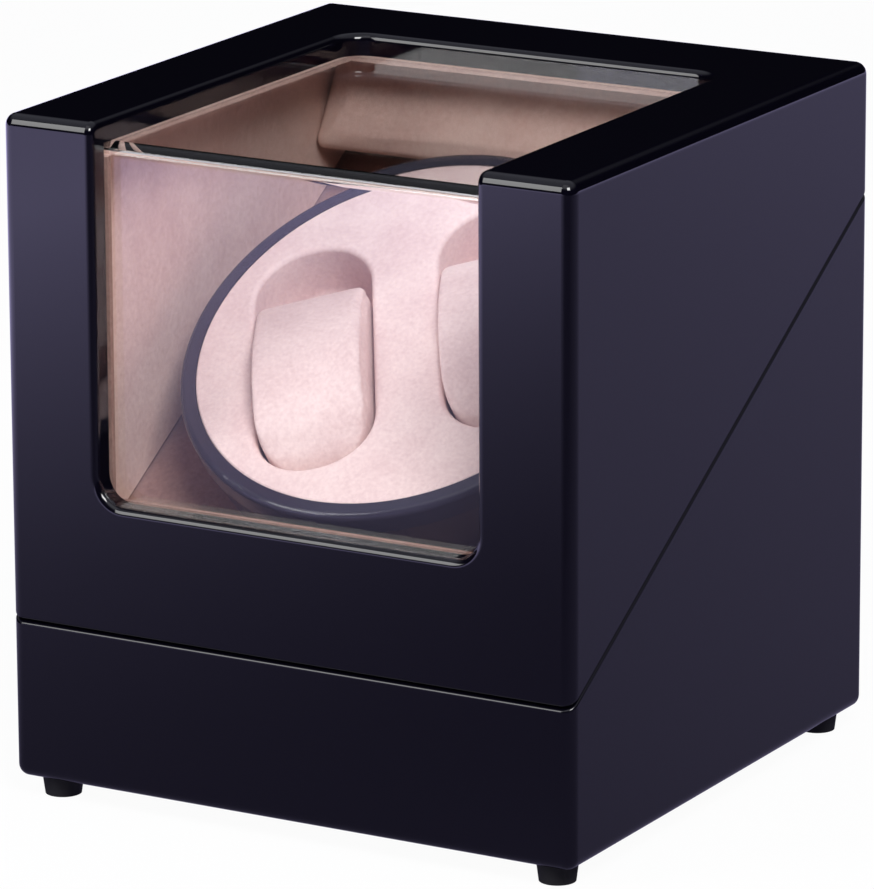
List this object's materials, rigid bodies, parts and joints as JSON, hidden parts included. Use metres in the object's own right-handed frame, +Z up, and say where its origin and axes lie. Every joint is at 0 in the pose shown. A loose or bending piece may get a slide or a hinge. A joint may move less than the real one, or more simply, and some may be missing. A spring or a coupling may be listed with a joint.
{
  "type": "watch winder box",
  "caption": "Black lacquered box with a sloping seam, hinged lid with bent clear window, and a motor-driven tilted turntable that turns watches on suede pillows.",
  "frame": {"origin": "on the floor, under the middle of the whole outline (case and hinge knuckles)", "axes": "+Z up, front of the case towards -Y, +X to the viewer's right when facing the window"},
  "size_m": [0.18, 0.182, 0.198],
  "materials": {
    "lacquer": "polished black lacquer over fibreboard",
    "board": "bare fibreboard",
    "lining_suede": "short suede nap",
    "face_suede": "short flocked nap",
    "pillow_suede": "short suede nap",
    "drum_plastic": "moulded, polished slate grey",
    "clear_acrylic": "clear, polished",
    "rubber": "moulded, matt",
    "steel": "bright zinc",
    "hinge_brass": "satin",
    "bronze": "sintered",
    "housing_plastic": "moulded black",
    "gear_plastic": "moulded natural white",
    "circuit_board": "green solder mask",
    "wire": "soft sleeve"
  },
  "bodies": {
    "base": {"base_carcass": "lacquer", "bottom_board": "board", "feet": "rubber", "foot_screws": "steel", "deck_skin": "lining_suede", "deck_board": "board", "lid_bumpers": "rubber", "spindle_bush": "bronze", "bearing_block": "housing_plastic", "block_screws": "steel", "drive_plate": "steel", "plate_pillars": "steel", "plate_screws": "steel", "gear_motor": "steel", "motor_screws": "steel", "hinge_base_leaves": "hinge_brass", "hinge_pins": "steel", "hinge_base_screws": "steel", "control_panel": "housing_plastic", "panel_screws": "steel", "mode_switch": "housing_plastic", "power_switch": "housing_plastic", "power_inlet": "housing_plastic", "control_board": "circuit_board", "motor_lead": "wire"},
    "lid": {"lid_shell": "lacquer", "window_pane": "clear_acrylic", "front_lining": "lining_suede", "top_lining": "lining_suede", "left_lining": "lining_suede", "right_lining": "lining_suede", "back_lining": "lining_suede", "hinge_lid_leaves": "hinge_brass", "hinge_lid_screws": "steel"},
    "rotor": {"rotor_drum": "drum_plastic", "rotor_face": "face_suede", "spindle": "steel", "hub_screw": "steel", "spindle_gear": "gear_plastic", "gear_clip": "steel"},
    "pinion": {"motor_pinion": "gear_plastic", "motor_shaft": "steel"},
    "left_pillow": {"pillow_left": "pillow_suede"},
    "right_pillow": {"pillow_right": "pillow_suede"},
    "knob": {"mode_knob": "housing_plastic"},
    "button": {"power_button": "housing_plastic"}
  },
  "joints": [
    {"name": "lid_hinge", "type": "hinge", "parent": "base", "child": "lid", "pos_m": [0, 0.0885, 0.1607], "axis": [-1, 0, 0], "range_deg": [0, 105]},
    {"name": "rotor_spin", "type": "hinge", "parent": "base", "child": "rotor", "pos_m": [0, -0.02237, 0.1307], "axis": [0, -0.5733, 0.8193], "continuous": true},
    {"name": "pinion_spin", "type": "hinge", "parent": "base", "child": "pinion", "pos_m": [0.03, -0.02237, 0.1307], "axis": [0, -0.5733, 0.8193], "continuous": true},
    {"name": "left_pillow_lift", "type": "slide", "parent": "rotor", "child": "left_pillow", "axis": [0, -0.5733, 0.8193], "range_m": [0, 0.02]},
    {"name": "right_pillow_lift", "type": "slide", "parent": "rotor", "child": "right_pillow", "axis": [0, -0.5733, 0.8193], "range_m": [0, 0.02]},
    {"name": "mode_knob_turn", "type": "hinge", "parent": "base", "child": "knob", "pos_m": [0.018, 0.086, 0.04], "axis": [0, 1, 0], "range_deg": [0, 90]},
    {"name": "power_button_press", "type": "slide", "parent": "base", "child": "button", "axis": [0, -1, 0], "range_m": [0, 0.0012], "stiffness_N_per_m": 400}
  ],
  "couplings": [
    {"joint": "pinion_spin", "follows": "rotor_spin", "ratio": -4}
  ]
}
